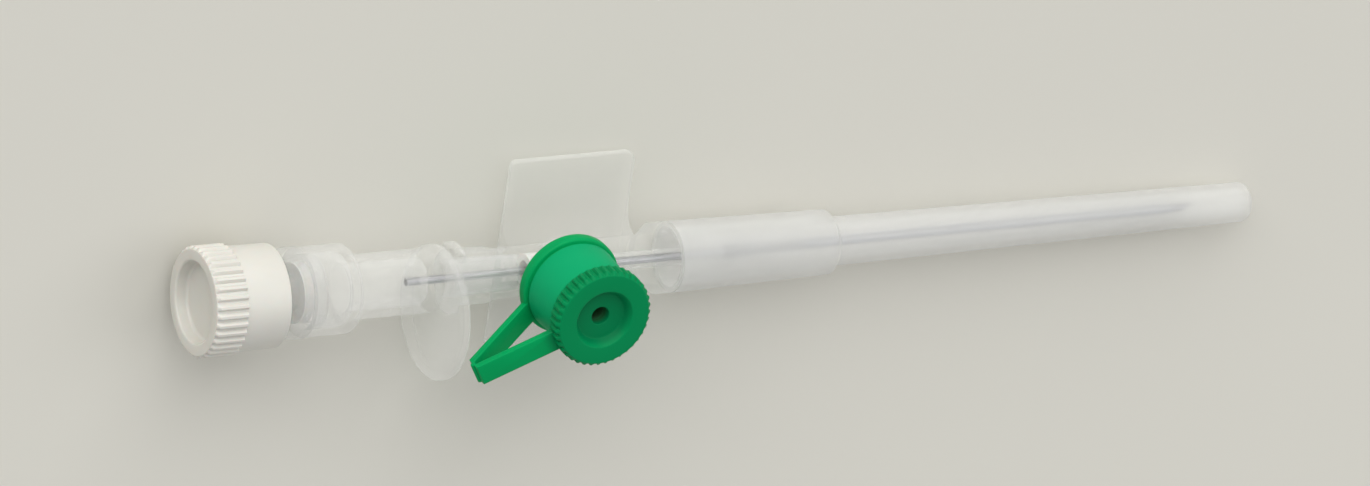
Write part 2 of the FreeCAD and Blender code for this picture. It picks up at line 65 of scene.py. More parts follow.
class Axis(Enum):
    """An axis that a piece is turned about."""

    CANNULA = (1.0, 0.0, 0.0)
    PORT = (0.0, 0.0, 1.0)

    def at(self, along: float, radius: float) -> Vector:
        """Point of a section at a place along the axis and a radius."""
        return Vector((along, 0.0, radius) if self is Axis.CANNULA else (radius, 0.0, along))

    def radius_of(self, place: Vector) -> float:
        """Distance of a point from the axis."""
        return math.hypot(place.y, place.z if self is Axis.CANNULA else place.x)

    def angle_of(self, place: Vector) -> float:
        """Turn of a point about the axis."""
        return math.atan2(place.y, place.z if self is Axis.CANNULA else place.x)

    def along(self, place: Vector) -> float:
        """Place of a point along the axis."""
        return place.x if self is Axis.CANNULA else place.z


class Join(Enum):
    """How a solid is combined with the one before it."""

    ADD = "UNION"
    CUT = "DIFFERENCE"
    KEEP = "INTERSECT"


# Shapes

WELD = 1e-4  # points nearer than this become one
NEAR = 1e-5  # how far apart two places may be that are the same
LONGEST = 0.45  # share of an edge that the rounding of its corner may take
TOOTH_STEPS = 8  # edges round the axis for each tooth
PAST = 1.0  # how far a solid that cuts another reaches past it


def softened(corners: Sequence[Corner], closed: bool = False, segments: int = 4) -> list[Point]:
    """Outline whose corners are rounded.

    Args:
        corners: (along, radius) or (along, radius, rounding) for each corner.
        closed: whether the last corner joins the first.
        segments: number of edges in each rounding.

    Returns:
        Points of the outline in order.
    """
    points: list[Point] = []
    count = len(corners)
    for index, corner in enumerate(corners):
        here = Vector(corner[:2])
        at_end = not closed and index in (0, count - 1)
        if len(corner) < 3 or at_end:
            points.append((here.x, here.y))
            continue
        back = Vector(corners[index - 1][:2]) - here
        on = Vector(corners[(index + 1) % count][:2]) - here
        half = back.angle(on) / 2
        reach = min(corner[2] / math.tan(half), LONGEST * back.length, LONGEST * on.length)
        radius = reach * math.tan(half)
        inwards = (back.normalized() + on.normalized()).normalized()
        centre = here + inwards * (radius / math.sin(half))
        start = here + back.normalized() * reach - centre
        end = here + on.normalized() * reach - centre
        sweep = start.angle_signed(end)
        for step in range(segments + 1):
            turned_start = Matrix.Rotation(-sweep * step / segments, 2) @ start
            points.append((centre.x + turned_start.x, centre.y + turned_start.y))
    return points


def turned(corners: Sequence[Corner], axis: Axis, closed: bool = False, steps: int = 96) -> Mesh:
    """Solid turned from a section whose corners are rounded.

    Args:
        corners: the section's corners, as softened takes them; an open one ends on the axis.
        axis: the axis that it is turned about.
        closed: whether the section's last corner joins its first.
        steps: number of edges round the axis.

    Returns:
        The closed mesh.
    """
    bm = bmesh.new()
    verts = [bm.verts.new(axis.at(*point)) for point in softened(corners, closed)]
    edges = [bm.edges.new(pair) for pair in zip(verts, verts[1:])]
    if closed:
        edges.append(bm.edges.new((verts[-1], verts[0])))
    bmesh.ops.spin(
        bm, geom=verts + edges, cent=(0, 0, 0), axis=axis.value,
        angle=2 * math.pi, steps=steps, use_merge=True, use_duplicate=False,
    )
    bmesh.ops.remove_doubles(bm, verts=bm.verts, dist=WELD)
    bmesh.ops.recalc_face_normals(bm, faces=bm.faces)
    return bm


def extruded(section: Sequence[Vector], sweep: Vector) -> Mesh:
    """Solid swept straight from a flat section.

    Args:
        section: corners of the section.
        sweep: way and length of the sweep.

    Returns:
        The closed mesh.
    """
    bm = bmesh.new()
    face = bm.faces.new([bm.verts.new(point) for point in section])
    swept = bmesh.ops.extrude_face_region(bm, geom=[face], use_keep_orig=True)
    moved = [item for item in swept["geom"] if isinstance(item, bmesh.types.BMVert)]
    bmesh.ops.translate(bm, verts=moved, vec=sweep)
    bmesh.ops.recalc_face_normals(bm, faces=bm.faces)
    return bm


def bevel(bm: Mesh, edges: list[bmesh.types.BMEdge], size: float, segments: int = 3) -> None:
    """Rounds some edges of a solid.

    Args:
        bm: the solid.
        edges: the edges that are rounded.
        size: width of the rounding.
        segments: number of faces across it.
    """
    bmesh.ops.bevel(
        bm, geom=edges, offset=size, affect="EDGES", segments=segments,
        profile=0.5, material=-1, clamp_overlap=True,
    )


def cut_teeth(bm: Mesh, axis: Axis, count: int, depth: float, zone: Point,
              tip_radius: float) -> None:
    """Presses tooth gaps into the rim of a turned solid.

    Args:
        bm: the turned solid.
        axis: its axis.
        count: number of teeth.
        depth: depth of a gap.
        zone: stretch along the axis where the teeth stand.
        tip_radius: radius over the teeth.
    """
    steepness, land = 1.7, 0.45
    for vert in bm.verts:
        radius = axis.radius_of(vert.co)
        in_zone = zone[0] - NEAR <= axis.along(vert.co) <= zone[1] + NEAR
        if radius < tip_radius - depth or not in_zone:
            continue
        wave = 0.5 - 0.5 * math.cos(count * axis.angle_of(vert.co))
        gap = depth * min(1.0, max(0.0, steepness * wave - land))
        share = max(radius - gap, tip_radius - depth) / radius
        foot = Vector(axis.value) * axis.along(vert.co)
        vert.co = foot + (vert.co - foot) * share


def as_object(bm: Mesh, name: str) -> bpy.types.Object:
    """Object in the scene that holds a mesh.

    Args:
        bm: the mesh, which is used up.
        name: the object's name.

    Returns:
        The object.
    """
    mesh = bpy.data.meshes.new(name)
    bm.to_mesh(mesh)
    bm.free()
    piece = bpy.data.objects.new(name, mesh)
    bpy.context.scene.collection.objects.link(piece)
    return piece


def combined(base: Mesh, steps: Sequence[tuple[Join, Mesh]]) -> Mesh:
    """One solid made from several.

    Args:
        base: the first solid.
        steps: each further solid and how it is combined.

    Returns:
        The resulting closed mesh.
    """
    piece = as_object(base, "combining")
    for join, solid in steps:
        tool = as_object(solid, "tool")
        modifier = piece.modifiers.new("combine", "BOOLEAN")
        modifier.operation = join.value
        modifier.solver = "EXACT"
        modifier.object = tool
        bpy.context.view_layer.update()
        graph = bpy.context.evaluated_depsgraph_get()
        made = bpy.data.meshes.new_from_object(piece.evaluated_get(graph))
        piece.modifiers.clear()
        piece.data = made
        bpy.data.objects.remove(tool)
    bm = bmesh.new()
    bm.from_mesh(piece.data)
    bpy.data.objects.remove(piece)
    bmesh.ops.remove_doubles(bm, verts=bm.verts, dist=WELD)
    bmesh.ops.dissolve_degenerate(bm, edges=bm.edges, dist=WELD)
    return bm


# Shader maths


Operand = Union["Signal", float]


class Signal:
    """A socket of a shader that arithmetic can be done on."""

    def __init__(self, nodes: "Nodes", socket: bpy.types.NodeSocket) -> None:
        """Wraps an output socket."""
        self.nodes = nodes
        self.socket = socket

    def _math(self, operation: str, first: Operand, second: Operand) -> "Signal":
        """Adds a Math node on two operands."""
        return self.nodes.node("ShaderNodeMath", {"operation": operation}, {0: first, 1: second})

    def __add__(self, other: Operand) -> "Signal":
        """Sum."""
        return self._math("ADD", self, other)

    def __sub__(self, other: Operand) -> "Signal":
        """Difference."""
        return self._math("SUBTRACT", self, other)

    def __rsub__(self, other: Operand) -> "Signal":
        """Difference with a number first."""
        return self._math("SUBTRACT", other, self)

    def __mul__(self, other: Operand) -> "Signal":
        """Product."""
        return self._math("MULTIPLY", self, other)

    def __pow__(self, other: Operand) -> "Signal":
        """Power."""
        return self._math("POWER", self, other)

    __radd__ = __add__
    __rmul__ = __mul__


class Nodes:
    """Node tree of a material or of the world."""

    def __init__(self, tree: bpy.types.NodeTree) -> None:
        """Empties a tree."""
        self.tree = tree
        self.tree.nodes.clear()

    def node(self, kind: str, settings: dict | None = None, sockets: dict | None = None,
             output: int | str = 0) -> Signal:
        """Adds a node.

        Args:
            kind: the node's type.
            settings: its properties.
            sockets: a value or a signal for each named or numbered input.
            output: the output that is returned.

        Returns:
            The output as a signal.
        """
        made = self.tree.nodes.new(kind)
        for key, value in (settings or {}).items():
            setattr(made, key, value)
        for key, value in (sockets or {}).items():
            self.feed(made.inputs[key], value)
        return Signal(self, made.outputs[output]) if made.outputs else Signal(self, None)

    def feed(self, socket: bpy.types.NodeSocket, value: object) -> None:
        """Links a signal to a socket, or sets the socket's own value.

        Args:
            socket: the socket that is fed.
            value: a signal or a constant.
        """
        if isinstance(value, Signal):
            self.tree.links.new(value.socket, socket)
        else:
            socket.default_value = value


class Shader(Nodes):
    """Node tree of one material, with a Principled shader as its surface."""

    def __init__(self, name: str) -> None:
        """Makes a material with its output and Principled shader.

        Args:
            name: the material's name.
        """
        self.material = bpy.data.materials.new(name)
        self.material.use_nodes = True
        super().__init__(self.material.node_tree)
        output = self.tree.nodes.new("ShaderNodeOutputMaterial")
        self.surface = self.tree.nodes.new("ShaderNodeBsdfPrincipled")
        self.tree.links.new(self.surface.outputs[0], output.inputs[0])

    def set(self, **values: object) -> None:
        """Sets or links inputs of the Principled shader.

        Args:
            values: value or signal for each input, whose name has underscores for spaces.
        """
        for key, value in values.items():
            name = key.replace("_", " ").title().replace("Ior", "IOR")
            self.feed(self.surface.inputs[name], value)

    def place(self) -> Signal:
        """Point in the piece's own frame, in metres."""
        return self.node("ShaderNodeTexCoord", output="Object")

    def part_of_place(self, index: int) -> Signal:
        """One coordinate of the point, in millimetres of the drawing frame.

        Args:
            index: 0, 1 or 2 for X, Y or Z.

        Returns:
            The coordinate.
        """
        raw = self.node("ShaderNodeSeparateXYZ", sockets={0: self.place()}, output=index)
        origin = DRAWING.to_frame.to_translation()[index]
        return (raw - origin) * (1 / MM)

    def noise(self, size_mm: float, detail: float = 2.0,
              stretch: tuple[float, float, float] = (1.0, 1.0, 1.0)) -> Signal:
        """Noise whose features are about a size in millimetres.

        Args:
            size_mm: size of the features.
            detail: number of finer layers in it.
            stretch: how often the noise repeats along each axis.

        Returns:
            The noise, from 0 to 1.
        """
        mapped = self.node("ShaderNodeMapping", {}, {"Vector": self.place(), "Scale": stretch})
        return self.node("ShaderNodeTexNoise", {}, {
            "Vector": mapped, "Scale": 1 / (size_mm * MM), "Detail": detail})

    def mix(self, share: Operand, first: object, second: object) -> Signal:
        """Colour between two colours.

        Args:
            share: share of the second colour.
            first: the first colour.
            second: the second colour.

        Returns:
            The mixed colour.
        """
        inputs = {"Factor": share, 6: first, 7: second}
        return self.node("ShaderNodeMix", {"data_type": "RGBA"}, inputs, output=2)

    def shaded(self, share: Signal, colour: Colour, low: float, high: float) -> Signal:
        """Colour made lighter or darker by a factor, which a share brings from low to high."""
        return self.mix(share, linear(colour, low), linear(colour, high))

    def rise(self, value: Signal, low: float, high: float) -> Signal:
        """Rises smoothly from 0 to 1 as a value goes from low to high.

        Args:
            value: the value.
            low: where the rise starts.
            high: where it ends.

        Returns:
            The rising share.
        """
        inputs = {"Value": value, "From Min": low, "From Max": high}
        return self.node("ShaderNodeMapRange", {"interpolation_type": "SMOOTHSTEP"}, inputs)

    def fall(self, value: Signal, low: float, high: float) -> Signal:
        """Falls smoothly from 1 to 0 as a value goes from low to high."""
        return 1 - self.rise(value, low, high)

    def bump(self, height: Signal, depth_mm: float) -> Signal:
        """Normal of a surface with relief of a depth in millimetres."""
        inputs = {"Height": height, "Distance": depth_mm * MM, "Strength": 1.0}
        return self.node("ShaderNodeBump", {}, inputs)


def linear(colour: Colour, shade: float = 1.0) -> tuple[float, ...]:
    """Linear colour for an sRGB one given from 0 to 255, made lighter or darker by a factor.

    Args:
        colour: red, green and blue.
        shade: the factor.

    Returns:
        Linear red, green and blue with alpha 1.
    """
    plain = Color([value / 255 for value in colour]).from_srgb_to_scene_linear()
    return (*(min(1.0, part * shade) for part in plain), 1.0)


# Finishes


@dataclass(frozen=True)
class MouldedPlastic:
    """Opaque moulded plastic with faint flow marks and a fine grain."""

    name: str
    colour: Colour
    variation: float = 0.06
    roughness: float = 0.35
    grain_mm: float = 0.12
    relief_mm: float = 0.004
    gloss: float = 0.5
    subsurface: float = 0.0
    scatter_mm: float = 0.6
    flow_mm: float = 3.5
    flow_gloss: float = 0.12

    def shader(self) -> Shader:
        """Shader of the plain plastic.

        Returns:
            The shader, whose inputs can still be changed.
        """
        shader = Shader(self.name)
        flow = shader.noise(self.flow_mm, 3.0)
        grain = shader.noise(self.grain_mm)
        shader.set(
            base_color=shader.shaded(flow, self.colour, 1 - self.variation, 1 + self.variation),
            roughness=self.roughness - self.flow_gloss / 2 + self.flow_gloss * flow,
            normal=shader.bump(grain, self.relief_mm),
            specular_ior_level=self.gloss,
            subsurface_weight=self.subsurface,
            subsurface_scale=self.scatter_mm * MM,
        )
        return shader

    def material(self) -> bpy.types.Material:
        """Finished material."""
        return self.shader().material


@dataclass(frozen=True)
class CapPlastic(MouldedPlastic):
    """Green plastic of the port cap, with a painted sheen that makes its matt sleeve paler and
    painted shade that darkens the lid, its recess and its hole.

    A foot or top is the stretch of height over which one tint gives way to another, and a side
    is such a stretch of radius, in millimetres.
    """

    # Painted shade: the lid's colour darkens the lid, and the recess colour darkens it further
    # inside its recess.
    lid_shade_colour: Colour = (0, 126, 74)
    recess_shade_colour: Colour = (0, 114, 68)
    # Painted sheen: the matt sleeve's paler colour stands for light falling on it.
    sleeve_sheen_colour: Colour = (12, 158, 104)
    # Painted shade: a dark brownish green inside the hole.
    hole_shade_colour: Colour = (62, 78, 50)
    sleeve_foot: Point = (4.4, 4.8)
    sleeve_side: Point = (5.3, 5.4)
    sleeve_top: Point = (10.1, 10.2)
    lid_foot: Point = (10.2, 10.3)
    lid_side: Point = (5.45, 6.95)
    recess_side: Point = (3.1, 3.3)
    recess_top: Point = (11.6, 12.1)
    hole_side: Point = (1.0, 1.12)
    hole_top: Point = (9.6, 11.2)
    # Shares of the painted sheen on the sleeve and of the painted shade on the lid and in the
    # hole.
    sleeve_sheen_tint: float = 0.85
    lid_shade_tint: float = 0.9
    hole_shade_tint: float = 0.8
    sleeve_matt: float = 0.14
    patches: float = 0.08
    patch_mm: float = 2.0

    def material(self) -> bpy.types.Material:
        """Makes the material.

        Returns:
            The finished material.
        """
        shader = self.shader()
        across, aside, height = (shader.part_of_place(index) for index in range(3))
        radius = (across * across + aside * aside) ** 0.5
        between = shader.rise(height, *self.sleeve_foot) * shader.fall(height, *self.sleeve_top)
        on_sleeve = between * shader.fall(radius, *self.sleeve_side)
        on_lid = shader.rise(height, *self.lid_foot) * shader.fall(radius, *self.lid_side)
        sunk = shader.fall(radius, *self.recess_side) * shader.fall(height, *self.recess_top)
        in_hole = shader.fall(radius, *self.hole_side) * shader.fall(height, *self.hole_top)
        colour = Signal(shader, shader.surface.inputs["Base Color"].links[0].from_socket)
        # Mixes in the painted sheen on the sleeve, then painted shade on the lid, deeper in its
        # recess and in its hole.
        for zone, tint, zone_colour in (
            (on_sleeve, self.sleeve_sheen_tint, self.sleeve_sheen_colour),
            (on_lid, self.lid_shade_tint, self.lid_shade_colour),
            (on_lid * sunk, self.lid_shade_tint, self.recess_shade_colour),
            (in_hole, self.hole_shade_tint, self.hole_shade_colour),
        ):
            colour = shader.mix(zone * tint, colour, linear(zone_colour))
        matt = self.sleeve_matt * on_sleeve + self.patches * shader.noise(self.patch_mm)
        shader.set(base_color=colour, roughness=self.roughness + matt)
        return shader.material


@dataclass(frozen=True)
class ClearPlastic:
    """Clear or milky plastic with a haze that thickens towards its edges, and flow lines."""

    name: str
    colour: Colour
    roughness: float = 0.1
    haze: float = 0.1
    transmission: float = 0.3
    ior: float = 1.3
    face_cover: float = 0.13
    edge_cover: float = 0.5
    edge_blend: float = 0.35
    wave_mm: float = 2.2
    wave_stretch: float = 0.45
    fine_mm: float = 0.25
    fine_share: float = 0.05
    relief_mm: float = 0.01
    variation: float = 0.03

    def material(self) -> bpy.types.Material:
        """Makes the material.

        Returns:
            The finished material.
        """
        shader = Shader(self.name)
        wave = shader.noise(self.wave_mm, 1.5, (self.wave_stretch, 1.0, 1.0))
        fine = shader.noise(self.fine_mm, 1.0)
        grazing = shader.node("ShaderNodeLayerWeight", {}, {"Blend": self.edge_blend}, "Facing")
        cover = self.face_cover + (self.edge_cover - self.face_cover) * grazing
        shader.set(
            base_color=shader.shaded(wave, self.colour, 1 - self.variation, 1 + self.variation),
            roughness=self.roughness + self.haze * wave,
            normal=shader.bump(wave + self.fine_share * fine, self.relief_mm),
            alpha=cover,
            transmission_weight=self.transmission,
            ior=self.ior,
        )
        return shader.material


@dataclass(frozen=True)
class DrawnSteel:
    """Stainless tube with fine lines along its length."""

    name: str = "needle_steel"
    colour: Colour = (156, 156, 160)
    shades: Point = (0.9, 1.05)
    line_mm: float = 0.08
    line_stretch: float = 0.02
    roughness: float = 0.2
    line_roughness: float = 0.16
    relief_mm: float = 0.002

    def material(self) -> bpy.types.Material:
        """Makes the material.

        Returns:
            The finished material.
        """
        shader = Shader(self.name)
        lines = shader.noise(self.line_mm, stretch=(self.line_stretch, 1.0, 1.0))
        shader.set(
            base_color=shader.shaded(lines, self.colour, *self.shades),
            metallic=1.0,
            roughness=self.roughness + self.line_roughness * lines,
            normal=shader.bump(lines, self.relief_mm),
        )
        return shader.material


@dataclass(frozen=True)
class StripedPolymer:
    """Soft catheter polymer with stripes along it that show on an X-ray."""

    name: str = "catheter_polymer"
    colour: Colour = (222, 224, 224)
    stripe_colour: Colour = (176, 182, 190)
    stripes: int = 4
    stripe_edge: Point = (0.55, 0.75)
    cover: float = 0.2
    stripe_cover: float = 0.25
    roughness: float = 0.32
    grain_roughness: float = 0.1
    grain_mm: float = 0.15
    relief_mm: float = 0.002

    def material(self) -> bpy.types.Material:
        """Makes the material.

        Returns:
            The finished material.
        """
        shader = Shader(self.name)
        across, height = shader.part_of_place(1), shader.part_of_place(2)
        angle = shader.node("ShaderNodeMath", {"operation": "ARCTAN2"}, {0: across, 1: height})
        turns = angle * float(self.stripes)
        wave = shader.node("ShaderNodeMath", {"operation": "COSINE"}, {0: turns})
        stripe = shader.rise(wave, *self.stripe_edge)
        grain = shader.noise(self.grain_mm)
        shader.set(
            base_color=shader.mix(stripe, linear(self.colour), linear(self.stripe_colour)),
            roughness=self.roughness + self.grain_roughness * grain,
            alpha=self.cover + self.stripe_cover * stripe,
            normal=shader.bump(grain, self.relief_mm),
        )
        return shader.material


@dataclass(frozen=True)
class PorousDisc:
    """Sintered white plastic with open pores, which lets some light through."""

    name: str = "porous_white"
    colour: Colour = (240, 240, 235)
    shades: Point = (0.85, 1.0)
    cover: float = 0.36
    pore_mm: float = 0.16
    roughness: float = 0.8
    pore_roughness: float = 0.1
    relief_mm: float = 0.03
    subsurface: float = 0.5
    scatter_mm: float = 0.5

    def material(self) -> bpy.types.Material:
        """Makes the material.

        Returns:
            The finished material.
        """
        shader = Shader(self.name)
        inputs = {"Vector": shader.place(), "Scale": 1 / (self.pore_mm * MM)}
        pores = shader.node("ShaderNodeTexVoronoi", {}, inputs)
        shader.set(
            base_color=shader.shaded(pores, self.colour, *self.shades),
            roughness=self.roughness + self.pore_roughness * pores,
            subsurface_weight=self.subsurface,
            subsurface_scale=self.scatter_mm * MM,
            alpha=self.cover,
            normal=shader.bump(pores, self.relief_mm),
        )
        return shader.material


# Drawing frame


@dataclass(frozen=True)
class Drawing:
    """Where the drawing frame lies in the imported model, taken from the valve sleeve."""

    to_frame: Matrix

    @classmethod
    def from_valve(cls) -> "Drawing":
        """Frame whose origin is the middle of the valve, where the two axes meet."""
        low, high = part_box("port_valve")
        return cls(Matrix.Translation((low + high) / 2) @ Matrix.Diagonal((MM, MM, MM, 1.0)))

    def spot(self, x: float, y: float, z: float) -> Vector:
        """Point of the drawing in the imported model's frame."""
        return self.to_frame @ Vector((x, y, z))

    def span(self, node: str) -> tuple[float, float]:
        """Ends of a node along the cannula, in millimetres of the drawing.

        Args:
            node: the node's name.

        Returns:
            Its rear and front ends.
        """
        low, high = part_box(node)
        middle = self.to_frame.to_translation()
        return (low.x - middle.x) / MM, (high.x - middle.x) / MM


DRAWING = Drawing.from_valve()


@dataclass(frozen=True)
class Dress:
    """What a finished piece is made of and what it goes with."""

    material: bpy.types.Material
    slot: str
    body: str
    sharp_deg: float = 32.0

    def put_on(self, bm: Mesh, name: str, *nodes: str) -> bpy.types.Object:
        """Turns a drawn mesh into a finished piece.

        Args:
            bm: the mesh in the drawing frame.
            name: the piece's name.
            nodes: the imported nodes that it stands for.

        Returns:
            The finished piece.
        """
        bm.transform(DRAWING.to_frame)
        piece = as_object(bm, name)
        for face in piece.data.polygons:
            face.use_smooth = True
        piece.data.set_sharp_from_angle(angle=math.radians(self.sharp_deg))
        piece.data.materials.append(self.material)
        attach(piece, self.body)
        if nodes:
            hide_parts(*nodes)
        log.info("%s: %d faces on %s", name, len(piece.data.polygons), self.body)
        return piece


# Luer cones


@dataclass(frozen=True)
class Luer:
    """Sizes that every luer cone here shares."""

    mouth: float = 2.135
    slope: float = 0.03
    depth: float = 8.0
    clearance: float = 0.04
    barrel: float = 3.085
    lug_radius: float = 3.885
    lug_width: float = 3.4
    lug_thickness: float = 1.2

    def radius(self, depth: float) -> float:
        """Radius of a socket at a depth."""
        return self.mouth - self.slope * depth

    def lugs(self, mouth: float) -> Mesh:
        """Two ears beside a mouth that opens rearwards.

        Args:
            mouth: the mouth's place along the cannula.

        Returns:
            The ears as one closed mesh.
        """
        front = mouth + self.lug_thickness
        radius = self.lug_radius
        ring = turned([
            (mouth, 0.0), (mouth, radius, 0.2), (front, radius, 0.2), (front, 0.0),
        ], Axis.CANNULA, steps=72)
        half = self.lug_width / 2
        wide = radius + PAST
        section = [Vector((mouth - PAST, y, z)) for y, z in
                   ((-wide, -half), (wide, -half), (wide, half), (-wide, half))]
        block = extruded(section, Vector((self.lug_thickness + 2 * PAST, 0.0, 0.0)))
        return combined(ring, [(Join.KEEP, block)])


LUER = Luer()


# Sub-assemblies


@dataclass
class NeedleCover:
    """Milky cover over the needle: wide at its mouth, stepped, with a closed round tip."""

    wall: float = 0.65
    mouth_radius: float = 3.85
    step_radius: float = 3.5
    wide_length: float = 18.9
    step_length: float = 0.6
    tube_radius: float = 2.65
    tip_radius: float = 2.15
    tip_rounding: float = 2.0855
    seam_depth: float = 0.3

    def outline(self) -> list[Point]:
        """Section of the cover from its outer tip round to its inner tip.

        Returns:
            Points of the section in order.
        """
        rear, end = DRAWING.span("needle_cover")
        step = rear + self.wide_length
        tube = step + self.step_length
        seam = (rear, self.mouth_radius - self.seam_depth)
        outer = softened([
            seam, (rear, self.mouth_radius, 0.22), (step, self.step_radius, 0.35),
            (tube, self.tube_radius, 0.25), (end, self.tip_radius, self.tip_rounding), (end, 0.0),
        ], segments=10)
        wall = self.wall
        inner = softened([
            (end - wall, 0.0), (end - wall, self.tip_radius - wall, 1.4),
            (tube - wall, self.tube_radius - wall, 0.2),
            (step - wall, self.step_radius - wall, 0.2),
            (rear, self.mouth_radius - wall, 0.15), seam,
        ], segments=8)
        return list(reversed(outer)) + list(reversed(inner))[1:]

    def build(self, dress: Dress) -> None:
        """Builds the cover."""
        shell = turned(self.outline(), Axis.CANNULA, steps=112)
        dress.put_on(shell, "cover_shell", "needle_cover")


@dataclass
class CatheterHub:
    """Clear hub with luer barrel, shoulder, seat, nose, wings and the port's tower."""

    front: float = 13.55
    barrel_length: float = 4.4
    barrel_slope: float = 1.0
    body_radius: float = 2.75
    shoulder_radius: float = 3.85
    shoulder_length: float = 2.0
    shoulder_slope: float = 1.2
    seat_radius: float = 3.15
    seat_end_radius: float = 3.07
    seat_length: float = 4.4
    seat_cone: float = 1.6
    nose_radius: float = 1.75
    nose_tip_radius: float = 1.45
    nose_bore: float = 0.6
    ferrule_bore: float = 0.705
    ferrule_room: float = 2.0
    ferrule_slope: float = 0.4
    flare_length: float = 1.6
    pocket_radius: float = 1.85
    pocket_end: float = 3.6
    passage_radius: float = 0.95
    tower_radius: float = 3.585
    tower_top: float = 10.1
    throat_radius: float = 2.03
    taper_depth: float = 3.5
    floor: float = 3.4
    hole_radius: float = 0.8
    snap_height: float = 8.6
    snap_rise: float = 0.2
    snap_slope: float = 0.4
    wing_half: float = 11.0
    wing_back: float = 5.0
    wing_front: float = 10.0
    wing_drop: float = 4.6
    wing_thickness: float = 0.9
    wing_root: float = 5.0
    wing_corner: float = 2.6
    wing_rim: float = 0.22
    rim_angle_deg: float = 50.0
    saddle_slope: float = 1.2
    saddle_rise: float = 0.22
    flank_share: float = 0.82
    flank_width: float = 0.45
    flank_rise: float = 0.95
    flank_top: float = 0.5

    def barrel(self) -> Mesh:
        """Outside of the hub along its axis.

        Returns:
            The closed mesh.
        """
        rear, end = DRAWING.span("catheter_hub")
        barrel_end = rear + self.barrel_length
        shoulder = self.front - self.shoulder_length
        seat_end = self.front + self.seat_length
        return turned([
            (rear, 0.0), (rear, LUER.barrel, 0.15), (barrel_end, LUER.barrel, 0.5),
            (barrel_end + self.barrel_slope, self.body_radius, 0.5),
            (shoulder - self.shoulder_slope, self.body_radius, 0.5),
            (shoulder, self.shoulder_radius, 0.3), (self.front, self.shoulder_radius, 0.15),
            (self.front, self.seat_radius), (seat_end, self.seat_end_radius, 0.4),
            (seat_end + self.seat_cone, self.nose_radius, 0.5),
            (end, self.nose_tip_radius, 0.35), (end, 0.0),
        ], Axis.CANNULA)

    def tower(self) -> Mesh:
        """Outside of the port with its snap bead.

        Returns:
            The closed mesh.
        """
        bead, slope, radius = self.snap_height, self.snap_slope, self.tower_radius
        return turned([
            (0.0, 0.0), (0.0, radius), (bead - slope, radius, 0.1),
            (bead, radius + self.snap_rise, 0.3), (bead + slope, radius, 0.1),
            (self.tower_top, radius, 0.2), (self.tower_top, 0.0),
        ], Axis.PORT, steps=72)

    def wings(self) -> Mesh:
        """Two flat wings and the saddle that carries them.

        Returns:
            The closed mesh.
        """
        top = self.wing_thickness - self.wing_drop
        flank = self.flank_share * self.body_radius
        right = [
            (self.wing_half, -self.wing_drop), (self.wing_half, top), (self.wing_root, top),
            (self.wing_root - self.saddle_slope, top + self.saddle_rise),
            (flank + self.flank_width, top + self.flank_rise), (flank, self.flank_top - flank),
        ]
        left = [(-y, z) for y, z in reversed(right)]
        section = [Vector((-self.wing_back, y, z)) for y, z in right + left]
        bm = extruded(section, Vector((self.wing_back + self.wing_front, 0.0, 0.0)))
        corners = [edge for edge in bm.edges
                   if all(abs(abs(vert.co.y) - self.wing_half) < NEAR for vert in edge.verts)
                   and abs(edge.verts[0].co.x - edge.verts[1].co.x) < NEAR]
        bevel(bm, corners, self.wing_corner, 8)
        rims = [edge for edge in bm.edges
                if edge.calc_face_angle(0.0) > math.radians(self.rim_angle_deg)
                and max(vert.co.z for vert in edge.verts) < top + NEAR]
        bevel(bm, rims, self.wing_rim, 2)
        return bm

    def hollow(self) -> Mesh:
        """Everything bored along the hub.

        Returns:
            The closed mesh that is cut away.
        """
        rear, end = DRAWING.span("catheter_hub")
        socket_end = rear + LUER.depth
        flare = DRAWING.span("catheter_tube")[0]
        flare_end = flare + self.flare_length
        room_end = flare_end + self.ferrule_room
        return turned([
            (rear - PAST, 0.0), (rear - PAST, LUER.radius(-PAST)),
            (socket_end, LUER.radius(LUER.depth)), (socket_end, self.pocket_radius),
            (self.pocket_end, self.pocket_radius), (self.pocket_end, self.passage_radius),
            (flare, self.passage_radius), (flare_end, self.ferrule_bore),
            (room_end, self.ferrule_bore), (room_end + self.ferrule_slope, self.nose_bore),
            (end + PAST, self.nose_bore), (end + PAST, 0.0),
        ], Axis.CANNULA, steps=72)

    def port_hollow(self) -> Mesh:
        """Luer taper, throat and small hole of the port.

        Returns:
            The closed mesh that is cut away.
        """
        taper_end, above = self.tower_top - self.taper_depth, self.tower_top + PAST
        return turned([
            (0.0, 0.0), (0.0, self.hole_radius), (self.floor, self.hole_radius),
            (self.floor, self.throat_radius), (taper_end, self.throat_radius),
            (above, LUER.radius(-PAST)), (above, 0.0),
        ], Axis.PORT, steps=64)

    def build(self, dress: Dress) -> None:
        """Builds the hub.

        Args:
            dress: its finish and body.
        """
        rear = DRAWING.span("catheter_hub")[0]
        hub = combined(self.barrel(), [
            (Join.ADD, LUER.lugs(rear)), (Join.ADD, self.tower()), (Join.ADD, self.wings()),
            (Join.CUT, self.hollow()), (Join.CUT, self.port_hollow()),
        ])
        dress.put_on(hub, "hub_moulding", "catheter_hub")


